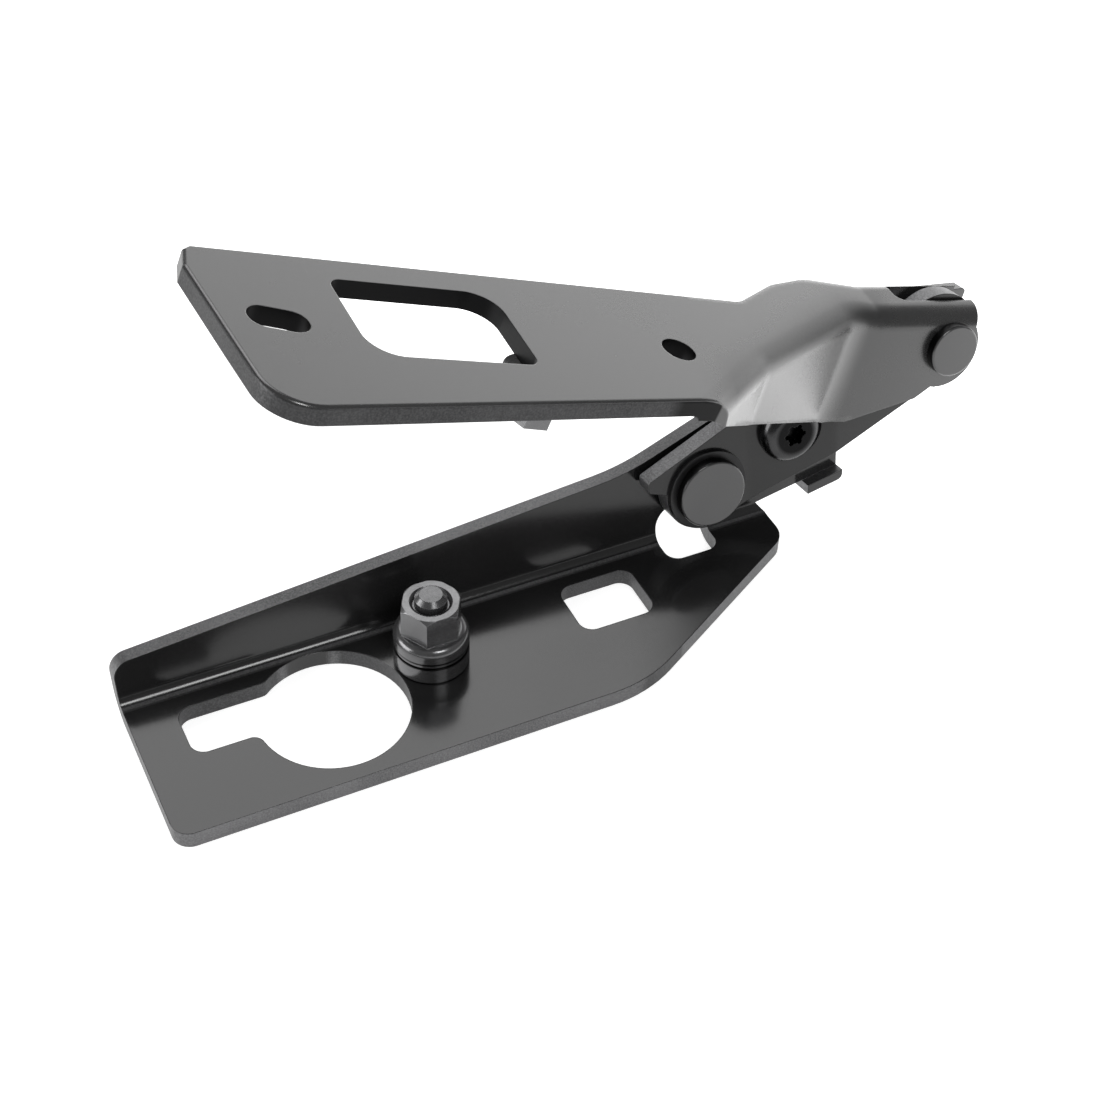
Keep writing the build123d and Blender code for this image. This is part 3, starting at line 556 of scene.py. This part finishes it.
bracket_coat = coat(
    "bracket_coat", shade=0.012, rough=0.15,
    sheared=bracket_edges, edge_shade=0.14, shaded=bracket_hole_shade,
)
link_coat = coat(
    "link_coat", shade=0.012, rough=0.16, gloss=0.4,
    sheared=link_edges, edge_shade=0.20, streaks=PIN,
)
arm_coat = coat(
    "arm_coat", shade=0.014, rough=0.24, peel=0.06, gloss=1.0,
    sheared=arm_edges, edge_shade=0.05, edge_rough=0.4, streaks=ARM_NORMAL,
    shaded=arm_hole_shade, soft=arm_bends, band_shade=arm_band_shade,
)
# Painted shade: the sides of the rivet heads get a darker, metallic coat
rivet_coat = coat(
    "rivet_coat", shade=0.03, rough=0.14, gloss=0.8,
    sheared=rivet_shaded_sides, edge_shade=0.02, edge_rough=0.3,
)
stack_black = plated("stack_black", shade=0.12, rough=0.22, joints=(4.1, 8.5, 9.7))
nut_black = plated("nut_black", shade=0.16, rough=0.30)
thread_black = plated("thread_black", shade=0.10, rough=0.25)
screw_black = plated("screw_black", shade=0.055, rough=0.25, metal=1.0, dark_core_radius=5.2)
bush_black = plated("bush_black", shade=0.03, rough=0.35)

dress(["body_bracket"], bracket_coat)
dress(["pivot_link"], link_coat)
dress(["bonnet_arm"], arm_coat)
dress(["lower_pivot_rivet", "upper_pivot_rivet"], rivet_coat)
dress(["collar_nut", "flat_washer", "thin_washer"], stack_black)
dress(["weld_nut", "arm_nut", "arm_washer"], nut_black)
dress(["mounting_stud", "arm_stud", "shear_screw_shank"], thread_black)
dress(["shear_screw_head"], screw_black)
dress(["lower_pivot_bush", "lower_pivot_spacer", "upper_pivot_bush"], bush_black)

threaded(
    "mounting_stud", STUD, UPRIGHT, start=1.5, stop=20, radius=4.0, pitch=1.25,
    below=[(0, 6.5), (1.5, 6.5)], above=[(20, 3.5), (22, 3.5), (23, 2.5)],
    body="bracket", material=thread_black,
)
threaded(
    "shear_screw_shank", SHANK_FOOT, PIN, start=4, stop=12.6, radius=3.0, pitch=1.0,
    below=[(0, 3)], above=[(12.95, 2.5)],
    body="bracket", material=thread_black,
)
threaded(
    "arm_stud", ARM_STUD_FOOT, -ARM_NORMAL, start=0.8, stop=8.9, radius=2.5, pitch=0.8,
    below=[(0, 2.5)], above=[(9.1, 2.2)],
    body="arm", material=thread_black,
)
